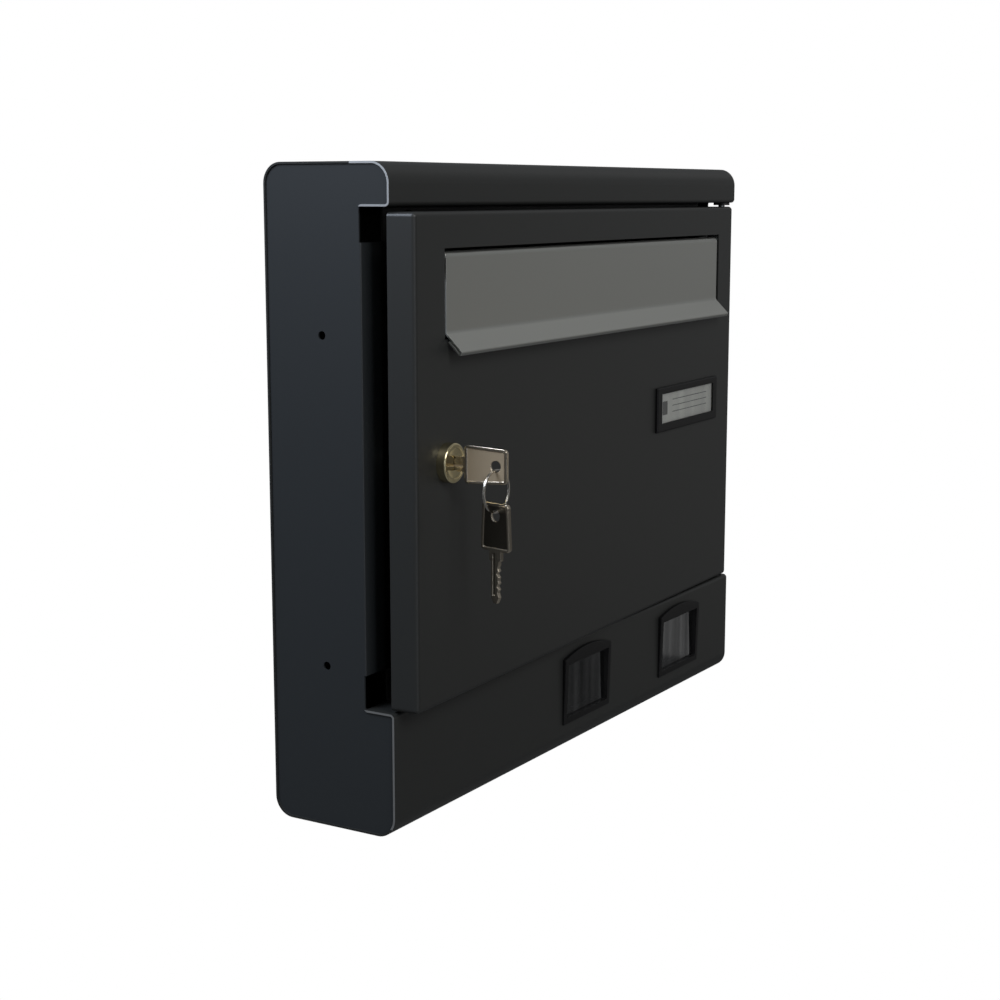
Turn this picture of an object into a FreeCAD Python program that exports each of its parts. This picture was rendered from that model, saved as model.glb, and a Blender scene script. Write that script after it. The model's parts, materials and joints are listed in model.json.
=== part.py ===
import FreeCAD, Part
import math
import os
import Sketcher

# Wall mounted mailbox, millimetres.
# X runs along the wall to the right, Y points into the wall, Z is up.
# The origin is the centre of the back, in the plane of the wall.
# The door and everything on it are designed shut and then swung ajar about the hinge.

DIMENSIONS = [
    ("casing_width", 380.0, "outer width along the wall"),
    ("casing_height", 321.0, "outer height"),
    ("casing_depth", 72.0, "wall to front"),
    ("gauge", 1.0, "steel sheet of the casing and the door"),
    ("corner_radius", 10.0, "outside radius where the wrap turns round the box"),
    ("crease_radius", 2.2, "outside radius of the sharp folds"),
    ("hood_height", 20.5, "front of the hood over the door"),
    ("fascia_height", 62.0, "front of the fascia under the door"),
    ("lip_height", 16.0, "upright lips behind the door, top and bottom"),
    ("lip_end", 18.5, "lips stop short of the ends of the casing"),
    ("recess_depth", 16.5, "front plane to the plane the door shuts against"),
    ("side_inset", 0.8, "side panels stand back from the ends of the wrap"),
    ("side_flange", 16.0, "front return flange of a side panel"),
    ("weld_flange", 11.0, "side panel flanges welded inside the wrap"),
    ("gang_hole_radius", 2.1, "holes for joining boxes side by side"),
    ("gang_hole_depth", 32.4, "gang holes from the wall plane"),
    ("gang_hole_spacing", 160.0, "distance between the two gang holes"),
    ("wall_hole_radius", 3.5, "wall screw holes"),
    ("wall_hole_across", 300.0, "wall screw holes, horizontal spacing"),
    ("wall_hole_up", 240.0, "wall screw holes, vertical spacing"),
    ("window_width", 53.4, "outside of the viewing window frame"),
    ("window_tall", 37.4, "outside of the viewing window frame"),
    ("window_level", -126.6, "height of the window centres"),
    ("window_far", 118.0, "centre of the right window; the other one is central"),
    ("window_border", 3.4, "frame bar width"),
    ("window_hole_margin", 2.4, "cut-out in the fascia inside the frame outline"),
    ("visor_reach", 2.2, "rain visor over the window, in front of the fascia"),
    ("visor_rise", 3.9, "arch of the visor"),
    ("door_side_gap", 2.0, "door edge to the end of the casing"),
    ("door_top_gap", 2.4, "door edge to the underside of the hood"),
    ("door_bottom_gap", 1.0, "door edge to the ledge"),
    ("door_flange", 15.0, "depth of the pan-folded door"),
    ("hinge_inset", 6.0, "hinge axis from the end of the casing"),
    ("hinge_back", 6.0, "hinge axis behind the front plane"),
    ("hinge_pin_radius", 2.0, "hinge pins"),
    ("running_gap", 0.05, "radial clearance of a turning pin"),
    ("ajar_degrees", 1.9, "how far the door stands open at rest"),
    ("slot_width", 328.3, "letter slot"),
    ("slot_top", 120.7, "upper edge of the slot"),
    ("slot_bottom", 78.1, "lower edge of the slot"),
    ("flap_width", 324.3, "letter flap"),
    ("flap_centre", 2.35, "middle of the flap and its slot"),
    ("flap_gauge", 1.0, "flap sheet"),
    ("flap_axis_level", 116.3, "flap hinge height"),
    ("flap_axis_back", 3.4, "flap hinge behind the front plane"),
    ("knuckle_radius", 3.0, "outside of the rolled top edge of the flap"),
    ("flap_bend_level", 81.0, "where the flap turns outwards"),
    ("flap_lip_reach", 8.6, "how far the pull lip stands forward and drops, at 45 degrees"),
    ("hem_return", 6.6, "the sheet folded back under the lip, along Y and along Z"),
    ("flap_rod_radius", 1.95, "rod the flap hangs on"),
    ("lock_across", -161.0, "lock centre"),
    ("lock_level", 20.0, "lock centre"),
    ("lock_flange_radius", 9.7, "visible collar of the lock"),
    ("lock_proud", 5.0, "collar in front of the door"),
    ("lock_barrel_radius", 8.0, "threaded barrel through the door"),
    ("lock_barrel_end", 54.0, "rear of the barrel, from the wall plane"),
    ("plug_radius", 5.6, "turning plug"),
    ("keyway_height", 6.4, "keyway in the plug"),
    ("keyway_width", 2.7, "keyway in the plug"),
    ("cam_reach", 22.0, "cam from the lock axis to its tip"),
    ("cam_width", 12.0, "cam plate"),
    ("cam_gauge", 2.0, "cam plate"),
    ("cam_front", 53.5, "front face of the cam, from the wall plane"),
    ("key_gauge", 2.0, "key thickness"),
    ("bow_length", 23.0, "key bow along the key"),
    ("bow_end_width", 16.6, "key bow at its free end"),
    ("bow_root_width", 18.8, "key bow at the blade"),
    ("blade_length", 25.2, "key blade"),
    ("blade_width", 5.0, "key blade"),
    ("shoulder_width", 7.4, "stop shoulder of the key"),
    ("shoulder_length", 4.5, "stop shoulder of the key"),
    ("key_hole_radius", 2.7, "ring hole in the bow"),
    ("key_hole_inset", 6.2, "ring hole from the free end"),
    ("bow_standoff", 10.3, "bow in front of the door"),
    ("ring_radius", 10.0, "key ring, centre line"),
    ("ring_wire", 0.6, "key ring wire radius"),
    ("ring_sag", 1.7, "ring wire under the middle of the hole it hangs in"),
    ("ring_twist", -6.0, "plane of the ring about the vertical"),
    ("spare_twist", -104.0, "plane of the spare key about the vertical"),
    ("plate_across", 119.8, "name plate centre"),
    ("plate_level", 20.0, "name plate centre"),
    ("plate_width", 88.4, "name plate frame"),
    ("plate_tall", 26.4, "name plate frame"),
    ("plate_proud", 1.8, "name plate frame in front of the door"),
    ("plate_pocket", 1.1, "room behind the frame for card and cover"),
    ("card_width", 76.0, "visible card"),
    ("card_tall", 17.4, "visible card"),
    ("card_lift", 0.6, "middle of the card over the middle of the frame"),
    ("card_gauge", 0.3, "card"),
    ("bush_radius", 3.6, "hinge bush barrel"),
    ("buffer_radius", 2.0, "rubber door buffers"),
    ("buffer_across", -150.0, "rubber door buffers"),
    ("buffer_gauge", 1.0, "rubber door buffers"),
    ("lock_nut_across", 20.0, "lock nut across its flats"),
    ("cam_square", 6.4, "square tail of the plug"),
    ("cam_screw_radius", 2.0, "screw that holds the cam"),
    ("key_rim", 1.5, "raised rim round the bow"),
    ("key_hollow", 0.35, "depth of the bow faces inside the rim"),
    ("plate_pin_radius", 1.6, "name plate pins"),
    ("plate_pin_spacing", 82.6, "name plate pins"),
]

doc = FreeCAD.newDocument("mailbox")
sheet = doc.addObject("Spreadsheet::Sheet", "dims")
for row, (alias, number, meaning) in enumerate(DIMENSIONS, start=1):
    sheet.set("A%d" % row, meaning)
    sheet.set("B%d" % row, str(number))
    sheet.setAlias("B%d" % row, alias)
doc.recompute()

def val(expression):
    """Number that an expression over the sheet gives now."""
    answer = sheet.evalExpression(expression)
    return float(getattr(answer, "Value", answer))


def new_body(label):
    """Empty PartDesign body; its label names the exported file."""
    body = doc.addObject("PartDesign::Body", label)
    body.Label = label
    return body


def new_sketch(body, name, plane):
    """Sketch on one of the body's own origin planes."""
    sketch = body.newObject("Sketcher::SketchObject", name)
    support = [item for item in body.Origin.OriginFeatures if item.Role == plane][0]
    sketch.AttachmentSupport = [(support, "")]
    sketch.MapMode = "FlatFace"
    return sketch


def hold_point(sketch, geometry, position, across, up):
    """Tie one point of a sketch to two expressions, measured from the origin."""
    for kind, expression in (("DistanceX", across), ("DistanceY", up)):
        index = sketch.addConstraint(
            Sketcher.Constraint(kind, -1, 1, geometry, position, val(expression)))
        sketch.setExpression("Constraints[%d]" % index, expression)


def draw_outline(sketch, corners):
    """Closed outline of straight lines through corners given as expression pairs."""
    points = [FreeCAD.Vector(val(across), val(up), 0) for across, up in corners]
    lines = []
    for start, end in zip(points, points[1:] + points[:1]):
        lines.append(sketch.addGeometry(Part.LineSegment(start, end), False))
    for line, following in zip(lines, lines[1:] + lines[:1]):
        sketch.addConstraint(Sketcher.Constraint("Coincident", line, 2, following, 1))
    for line, (across, up) in zip(lines, corners):
        hold_point(sketch, line, 1, across, up)


def draw_rectangle(sketch, left, right, low, high):
    """Rectangle between four expressions."""
    draw_outline(sketch, [(left, low), (right, low), (right, high), (left, high)])


def draw_circle(sketch, across, up, radius):
    """Circle whose centre and radius are expressions."""
    centre = FreeCAD.Vector(val(across), val(up), 0)
    circle = sketch.addGeometry(
        Part.Circle(centre, FreeCAD.Vector(0, 0, 1), val(radius)), False)
    hold_point(sketch, circle, 3, across, up)
    index = sketch.addConstraint(Sketcher.Constraint("Radius", circle, val(radius)))
    sketch.setExpression("Constraints[%d]" % index, radius)


def add_solid(body, sketch, kind, low, high, cut=False):
    """Pad or pocket between two distances along the sketch normal, both expressions."""
    sketch.setExpression("AttachmentOffset.Base.z", low)
    feature = body.newObject("PartDesign::" + kind, sketch.Name + kind)
    feature.Profile = sketch
    feature.setExpression("Length", "(%s) - (%s)" % (high, low))
    feature.Reversed = cut
    sketch.Visibility = False
    body.Tip = feature
    return feature


def pad(body, sketch, low, high):
    """Add material between two distances along the sketch normal."""
    return add_solid(body, sketch, "Pad", low, high)


def pocket(body, sketch, low, high):
    """Remove material between two distances along the sketch normal."""
    doc.recompute()
    before = body.Shape.Volume
    feature = add_solid(body, sketch, "Pocket", low, high, cut=True)
    doc.recompute()
    if not feature.Shape.Volume < before - 1e-6:
        raise RuntimeError("%s removes nothing" % feature.Name)
    return feature


def edges_along(shape, axis, places, tolerance=0.02):
    """Names of straight edges along an axis that pass a place (the other two coordinates)."""
    others = [k for k in range(3) if k != axis]
    names = []
    for number, edge in enumerate(shape.Edges, start=1):
        first = edge.Vertexes[0].Point
        last = edge.Vertexes[-1].Point
        if any(abs(first[k] - last[k]) > tolerance for k in others):
            continue
        for place in places:
            if all(abs(first[k] - place[i]) < tolerance for i, k in enumerate(others)):
                names.append("Edge%d" % number)
    return names


def round_edges(body, axis, places, radius):
    """Fillet the edges along an axis at the places given as expression pairs."""
    doc.recompute()
    feature = body.Tip
    spots = [(val(first), val(second)) for first, second in places]
    names = edges_along(feature.Shape, axis, spots)
    if not names:
        raise RuntimeError("no edges to round on %s" % body.Label)
    fillet = body.newObject("PartDesign::Fillet", "Rounding")
    fillet.Base = (feature, names)
    fillet.setExpression("Radius", radius)
    body.Tip = fillet
    doc.recompute()
    return fillet


# ---------------------------------------------------------------- places used by several parts

GAUGE = "dims.gauge"
FRONT = "-dims.casing_depth"
FRONT_INNER = "-dims.casing_depth + dims.gauge"
RECESS = "-dims.casing_depth + dims.recess_depth"
RECESS_INNER = "-dims.casing_depth + dims.recess_depth + dims.gauge"
TOP = "dims.casing_height / 2"
TOP_INNER = "dims.casing_height / 2 - dims.gauge"
BOTTOM = "-dims.casing_height / 2"
BOTTOM_INNER = "-dims.casing_height / 2 + dims.gauge"
HOOD_EDGE = "dims.casing_height / 2 - dims.hood_height"
HOOD_SHELF = "dims.casing_height / 2 - dims.hood_height + dims.gauge"
LEDGE = "-dims.casing_height / 2 + dims.fascia_height"
LEDGE_UNDER = "-dims.casing_height / 2 + dims.fascia_height - dims.gauge"
LIP_TOP = "dims.casing_height / 2 - dims.hood_height - dims.lip_height"
LIP_BOTTOM = "-dims.casing_height / 2 + dims.fascia_height + dims.lip_height"
SIDE_OUTER = "dims.casing_width / 2 - dims.side_inset"
HINGE_X = "dims.casing_width / 2 - dims.hinge_inset"
HINGE_Y = "-dims.casing_depth + dims.hinge_back"
DOOR_SIDE = "dims.casing_width / 2 - dims.door_side_gap"
DOOR_TOP = "dims.casing_height / 2 - dims.hood_height - dims.door_top_gap"
DOOR_BOTTOM = "-dims.casing_height / 2 + dims.fascia_height + dims.door_bottom_gap"
FLAP_AXIS_Y = "-dims.casing_depth + dims.flap_axis_back"


def minus(expression):
    """The same expression with its sign turned."""
    return "-(%s)" % expression


def plus(*terms):
    """Sum of expressions."""
    return " + ".join("(%s)" % term for term in terms)


# ---------------------------------------------------------------- casing

def make_casing_wrap():
    """One sheet folded right round: lip, hood, top, back, bottom, fascia, ledge, lip."""
    body = new_body("casing_wrap")
    section = new_sketch(body, "WrapSection", "YZ_Plane")
    draw_outline(section, [
        (RECESS, LIP_TOP), (RECESS, HOOD_EDGE), (FRONT, HOOD_EDGE), (FRONT, TOP),
        ("0", TOP), ("0", BOTTOM),
        (FRONT, BOTTOM), (FRONT, LEDGE), (RECESS, LEDGE), (RECESS, LIP_BOTTOM),
        (RECESS_INNER, LIP_BOTTOM), (RECESS_INNER, LEDGE_UNDER),
        (FRONT_INNER, LEDGE_UNDER), (FRONT_INNER, BOTTOM_INNER),
        (minus(GAUGE), BOTTOM_INNER), (minus(GAUGE), TOP_INNER),
        (FRONT_INNER, TOP_INNER), (FRONT_INNER, HOOD_SHELF),
        (RECESS_INNER, HOOD_SHELF), (RECESS_INNER, LIP_TOP),
    ])
    pad(body, section, "-dims.casing_width / 2", "dims.casing_width / 2")
    along_x = 0
    round_edges(body, along_x, [(FRONT, TOP), ("0", TOP), ("0", BOTTOM), (FRONT, BOTTOM)],
                "dims.corner_radius")
    round_edges(body, along_x,
                [(FRONT_INNER, TOP_INNER), (minus(GAUGE), TOP_INNER),
                 (minus(GAUGE), BOTTOM_INNER), (FRONT_INNER, BOTTOM_INNER)],
                "dims.corner_radius - dims.gauge")
    round_edges(body, along_x,
                [(FRONT, HOOD_EDGE), (FRONT, LEDGE),
                 (RECESS_INNER, HOOD_SHELF), (RECESS_INNER, LEDGE_UNDER)],
                "dims.crease_radius")
    round_edges(body, along_x,
                [(RECESS, HOOD_EDGE), (RECESS, LEDGE),
                 (FRONT_INNER, HOOD_SHELF), (FRONT_INNER, LEDGE_UNDER)],
                "dims.crease_radius - dims.gauge")

    holes = new_sketch(body, "WallHoles", "XZ_Plane")
    for across in ("-dims.wall_hole_across / 2", "dims.wall_hole_across / 2"):
        for up in ("-dims.wall_hole_up / 2", "dims.wall_hole_up / 2"):
            draw_circle(holes, across, up, "dims.wall_hole_radius")
    pocket(body, holes, "-1", "dims.gauge + 1")

    windows = new_sketch(body, "WindowCutOuts", "XZ_Plane")
    half_wide = "dims.window_width / 2 - dims.window_hole_margin"
    half_tall = "dims.window_tall / 2 - dims.window_hole_margin"
    for centre in ("0", "dims.window_far"):
        draw_rectangle(windows, plus(centre, minus(half_wide)), plus(centre, half_wide),
                       plus("dims.window_level", minus(half_tall)),
                       plus("dims.window_level", half_tall))
    pocket(body, windows, "dims.casing_depth - dims.gauge - 1", "dims.casing_depth + 1")

    notches = new_sketch(body, "LipEnds", "XZ_Plane")
    end = "dims.casing_width / 2"
    for left, right in ((minus(end + " + 1"), minus(end + " - dims.lip_end")),
                        (end + " - dims.lip_end", end + " + 1")):
        draw_rectangle(notches, left, right, plus(LIP_TOP, "-1"), HOOD_EDGE)
        draw_rectangle(notches, left, right, LEDGE, plus(LIP_BOTTOM, "1"))
    pocket(body, notches, "dims.casing_depth - dims.recess_depth - dims.gauge - 1",
           "dims.casing_depth - dims.recess_depth + dims.crease_radius")

    upper = new_sketch(body, "UpperBushHole", "XY_Plane")
    draw_circle(upper, HINGE_X, HINGE_Y, "dims.bush_radius")
    pocket(body, upper, plus(HOOD_EDGE, "-1"), plus(HOOD_SHELF, "1"))
    lower = new_sketch(body, "LowerBushHole", "XY_Plane")
    draw_circle(lower, HINGE_X, HINGE_Y, "dims.bush_radius")
    pocket(body, lower, plus(LEDGE_UNDER, "-1"), plus(LEDGE, "1"))
    return body


def make_side_panel(label, side):
    """Flat end plate inside the wrap, with a front return flange and three welded flanges."""
    body = new_body(label)
    along_x = 0

    def span(inner, outer):
        """Sketch-normal range of a slab between two distances from the middle."""
        return (inner, outer) if side > 0 else (minus(outer), minus(inner))

    plate = new_sketch(body, "EndPlate", "YZ_Plane")
    draw_outline(plate, [
        (FRONT_INNER, TOP_INNER), (minus(GAUGE), TOP_INNER),
        (minus(GAUGE), BOTTOM_INNER), (FRONT_INNER, BOTTOM_INNER),
        (FRONT_INNER, LEDGE_UNDER), (RECESS_INNER, LEDGE_UNDER),
        (RECESS_INNER, HOOD_SHELF), (FRONT_INNER, HOOD_SHELF),
    ])
    pad(body, plate, *span(plus(SIDE_OUTER, minus(GAUGE)), SIDE_OUTER))
    round_edges(body, along_x,
                [(FRONT_INNER, TOP_INNER), (minus(GAUGE), TOP_INNER),
                 (minus(GAUGE), BOTTOM_INNER), (FRONT_INNER, BOTTOM_INNER)],
                "dims.corner_radius - dims.gauge")
    round_edges(body, along_x,
                [(RECESS_INNER, LEDGE_UNDER), (RECESS_INNER, HOOD_SHELF)],
                "dims.crease_radius")
    round_edges(body, along_x,
                [(FRONT_INNER, LEDGE_UNDER), (FRONT_INNER, HOOD_SHELF)],
                "dims.crease_radius - dims.gauge")

    flange = new_sketch(body, "ReturnFlange", "YZ_Plane")
    draw_rectangle(flange, RECESS, RECESS_INNER,
                   plus(LIP_BOTTOM, "0.5"), plus(LIP_TOP, "-0.5"))
    pad(body, flange, *span(plus(SIDE_OUTER, "-dims.side_flange"), SIDE_OUTER))
    along_z = 2
    round_edges(body, along_z, [(SIDE_OUTER if side > 0 else minus(SIDE_OUTER), RECESS)], "0.9")

    run = "dims.casing_height / 2 - dims.corner_radius - 4"
    strips = (
        ("TopWeldFlange", plus(FRONT, "dims.corner_radius + 3"), "-dims.corner_radius - 3",
         plus(TOP_INNER, minus(GAUGE)), TOP_INNER),
        ("BottomWeldFlange", plus(FRONT, "dims.corner_radius + 3"), "-dims.corner_radius - 3",
         BOTTOM_INNER, plus(BOTTOM_INNER, GAUGE)),
        ("BackWeldFlange", "-2 * dims.gauge", "-dims.gauge", minus(run), run),
    )
    for name, near, far, low, high in strips:
        strip = new_sketch(body, name, "YZ_Plane")
        draw_rectangle(strip, near, far, low, high)
        pad(body, strip, *span(plus(SIDE_OUTER, "-dims.weld_flange"), SIDE_OUTER))

    holes = new_sketch(body, "GangHoles", "YZ_Plane")
    for up in ("-dims.gang_hole_spacing / 2", "dims.gang_hole_spacing / 2"):
        draw_circle(holes, "-dims.gang_hole_depth", up, "dims.gang_hole_radius")
    pocket(body, holes, *span(plus(SIDE_OUTER, minus(GAUGE), "-1"), plus(SIDE_OUTER, "1")))
    return body


def make_window_frame(label, centre):
    """Snap-in plastic frame with an arched rain visor that slopes back to the sill."""
    body = new_body(label)
    level = "dims.window_level"
    left = plus(centre, "-dims.window_width / 2")
    right = plus(centre, "dims.window_width / 2")
    low = plus(level, "-dims.window_tall / 2")
    high = plus(level, "dims.window_tall / 2")
    inner = (plus(left, "dims.window_border"), plus(right, "-dims.window_border"),
             plus(low, "dims.window_border"), plus(high, "-dims.window_border"))

    face = new_sketch(body, "VisorFace", "XZ_Plane")
    corners = [(left, high), (left, low), (right, low), (right, high)]
    points = [FreeCAD.Vector(val(across), val(up), 0) for across, up in corners]
    lines = []
    for start, end in zip(points, points[1:]):
        lines.append(face.addGeometry(Part.LineSegment(start, end), False))
    crown = FreeCAD.Vector(val(centre), val(plus(high, "dims.visor_rise")), 0)
    arch = face.addGeometry(Part.Arc(points[3], crown, points[0]), False)
    face.addConstraint(Sketcher.Constraint("Coincident", lines[0], 2, lines[1], 1))
    face.addConstraint(Sketcher.Constraint("Coincident", lines[1], 2, lines[2], 1))
    face.addConstraint(Sketcher.Constraint("Coincident", lines[2], 2, arch, 1))
    face.addConstraint(Sketcher.Constraint("Coincident", arch, 2, lines[0], 1))
    hold_point(face, lines[0], 1, *corners[0])
    hold_point(face, lines[1], 1, *corners[1])
    hold_point(face, lines[2], 1, *corners[2])
    hold_point(face, lines[2], 2, *corners[3])
    arch_radius = "(dims.window_width ^ 2 / 4 + dims.visor_rise ^ 2) / (2 * dims.visor_rise)"
    index = face.addConstraint(Sketcher.Constraint("Radius", arch, val(arch_radius)))
    face.setExpression("Constraints[%d]" % index, arch_radius)
    pad(body, face, "dims.casing_depth", "dims.casing_depth + dims.visor_reach")

    slope = new_sketch(body, "SlopedFront", "YZ_Plane")
    ahead = plus(FRONT, "-dims.visor_reach - 1")
    draw_outline(slope, [
        (plus(FRONT, "-dims.visor_reach"), plus(high, "-dims.window_border")),
        (ahead, plus(high, "-dims.window_border")),
        (ahead, plus(low, "-1")),
        (plus(FRONT, "-1"), plus(low, "-1")),
    ])
    pocket(body, slope, plus(left, "-1"), plus(right, "1"))

    collar = new_sketch(body, "Collar", "XZ_Plane")
    margin = "dims.window_hole_margin"
    draw_rectangle(collar, plus(left, margin), plus(right, minus(margin)),
                   plus(low, margin), plus(high, minus(margin)))
    pad(body, collar, "dims.casing_depth - 4", "dims.casing_depth")

    opening = new_sketch(body, "Opening", "XZ_Plane")
    draw_rectangle(opening, *inner)
    pocket(body, opening, "dims.casing_depth - 5", "dims.casing_depth + dims.visor_reach + 1")
    return body


def make_window_pane(label, centre):
    """Clear pane pressed into the frame opening."""
    body = new_body(label)
    pane = new_sketch(body, "Pane", "XZ_Plane")
    half_wide = "dims.window_width / 2 - dims.window_border"
    half_tall = "dims.window_tall / 2 - dims.window_border"
    draw_rectangle(pane, plus(centre, minus(half_wide)), plus(centre, half_wide),
                   plus("dims.window_level", minus(half_tall)),
                   plus("dims.window_level", half_tall))
    pad(body, pane, "dims.casing_depth - 2.4", "dims.casing_depth - 0.8")
    return body


def make_hinge_bush(label, face, away, collar_gauge):
    """Plastic bush: collar against one face of the shelf, barrel through it, running bore."""
    body = new_body(label)
    collar = new_sketch(body, "BushCollar", "XY_Plane")
    draw_circle(collar, HINGE_X, HINGE_Y, "dims.bush_radius + 1.4")
    barrel = new_sketch(body, "BushBarrel", "XY_Plane")
    draw_circle(barrel, HINGE_X, HINGE_Y, "dims.bush_radius")
    bore = new_sketch(body, "BushBore", "XY_Plane")
    draw_circle(bore, HINGE_X, HINGE_Y, "dims.hinge_pin_radius + dims.running_gap")
    reach = "dims.gauge + 2"
    if away > 0:
        pad(body, collar, plus(face, minus(collar_gauge)), face)
        pad(body, barrel, face, plus(face, reach))
    else:
        pad(body, collar, face, plus(face, collar_gauge))
        pad(body, barrel, plus(face, minus(reach)), face)
    pocket(body, bore, plus(face, "-5"), plus(face, "5"))
    return body


def make_door_buffer(label, up):
    """Small rubber stop on a lip of the wrap, where a flange of the shut door meets it."""
    buffer = doc.addObject("Part::Cylinder", label)
    buffer.Label = label
    buffer.setExpression("Radius", "dims.buffer_radius")
    buffer.setExpression("Height", "dims.buffer_gauge")
    buffer.Placement = FreeCAD.Placement(
        FreeCAD.Vector(val("dims.buffer_across"), val(RECESS), val(up)),
        FreeCAD.Rotation(FreeCAD.Vector(1, 0, 0), 90))
    return buffer


# ---------------------------------------------------------------- door

def make_door_panel():
    """Pan-folded front with letter slot, lock hole, plate pin holes and hinge pin holes."""
    body = new_body("door_panel")
    left = minus(DOOR_SIDE)
    face = new_sketch(body, "DoorFace", "XZ_Plane")
    draw_rectangle(face, left, DOOR_SIDE, DOOR_BOTTOM, DOOR_TOP)
    pad(body, face, "dims.casing_depth - dims.gauge", "dims.casing_depth")
    rim = new_sketch(body, "DoorFlanges", "XZ_Plane")
    draw_rectangle(rim, left, DOOR_SIDE, DOOR_BOTTOM, DOOR_TOP)
    draw_rectangle(rim, plus(left, GAUGE), plus(DOOR_SIDE, minus(GAUGE)),
                   plus(DOOR_BOTTOM, GAUGE), plus(DOOR_TOP, minus(GAUGE)))
    pad(body, rim, "dims.casing_depth - dims.door_flange", "dims.casing_depth")
    along_x, along_z = 0, 2
    round_edges(body, along_z, [(left, FRONT), (DOOR_SIDE, FRONT)], "dims.crease_radius")
    round_edges(body, along_x, [(FRONT, DOOR_TOP), (FRONT, DOOR_BOTTOM)], "dims.crease_radius")

    slot = new_sketch(body, "LetterSlot", "XZ_Plane")
    draw_rectangle(slot, "dims.flap_centre - dims.slot_width / 2",
                   "dims.flap_centre + dims.slot_width / 2",
                   "dims.slot_bottom", "dims.slot_top")
    pocket(body, slot, "dims.casing_depth - dims.gauge - 1", "dims.casing_depth + 1")
    holes = new_sketch(body, "FittingHoles", "XZ_Plane")
    draw_circle(holes, "dims.lock_across", "dims.lock_level", "dims.lock_barrel_radius")
    for across in ("dims.plate_across - dims.plate_pin_spacing / 2",
                   "dims.plate_across + dims.plate_pin_spacing / 2"):
        draw_circle(holes, across, "dims.plate_level", "dims.plate_pin_radius")
    pocket(body, holes, "dims.casing_depth - dims.gauge - 1", "dims.casing_depth + 1")
    for name, low, high in (("UpperPinHole", plus(DOOR_TOP, minus(GAUGE), "-1"),
                             plus(DOOR_TOP, "1")),
                            ("LowerPinHole", plus(DOOR_BOTTOM, "-1"),
                             plus(DOOR_BOTTOM, GAUGE, "1"))):
        hole = new_sketch(body, name, "XY_Plane")
        draw_circle(hole, HINGE_X, HINGE_Y, "dims.hinge_pin_radius")
        pocket(body, hole, low, high)
    return body


def make_hinge_pin(label, head_low, head_high, shank_low, shank_high):
    """Pin riveted into a door flange; its head is inside the door."""
    body = new_body(label)
    head = new_sketch(body, "PinHead", "XY_Plane")
    draw_circle(head, HINGE_X, HINGE_Y, "dims.hinge_pin_radius + 0.7")
    pad(body, head, head_low, head_high)
    shank = new_sketch(body, "PinShank", "XY_Plane")
    draw_circle(shank, HINGE_X, HINGE_Y, "dims.hinge_pin_radius")
    pad(body, shank, shank_low, shank_high)
    return body


def make_flap_bracket(label, side):
    """Angle welded behind the door: an ear carries the flap rod, a foot lies on the sheet."""
    body = new_body(label)

    def span(inner, outer):
        """Range along X between two distances from the middle, on this side."""
        return (inner, outer) if side > 0 else (minus(outer), minus(inner))

    ear_in = "dims.slot_width / 2 + 1 + %d * dims.flap_centre" % side
    ear_out = ear_in + " + dims.gauge"
    ear = new_sketch(body, "Ear", "YZ_Plane")
    draw_rectangle(ear, FRONT_INNER, plus(FRONT_INNER, "7.5"),
                   "dims.flap_axis_level - 7", "dims.slot_top + 10")
    pad(body, ear, *span(ear_in, ear_out))
    foot = new_sketch(body, "Foot", "YZ_Plane")
    draw_rectangle(foot, FRONT_INNER, plus(FRONT_INNER, GAUGE),
                   "dims.slot_top", "dims.slot_top + 10")
    pad(body, foot, *span(ear_in, plus(ear_in, "11")))
    hole = new_sketch(body, "RodHole", "YZ_Plane")
    draw_circle(hole, FLAP_AXIS_Y, "dims.flap_axis_level", "dims.flap_rod_radius")
    pocket(body, hole, *span(plus(ear_in, "-1"), plus(ear_out, "1")))
    return body


def make_flap_rod():
    """Straight rod from bracket to bracket, peened at both ends."""
    body = new_body("flap_rod")
    rod = new_sketch(body, "Rod", "YZ_Plane")
    draw_circle(rod, FLAP_AXIS_Y, "dims.flap_axis_level", "dims.flap_rod_radius")
    pad(body, rod, "dims.flap_centre - dims.slot_width / 2 - 4",
        "dims.flap_centre + dims.slot_width / 2 + 4")
    return body


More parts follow.
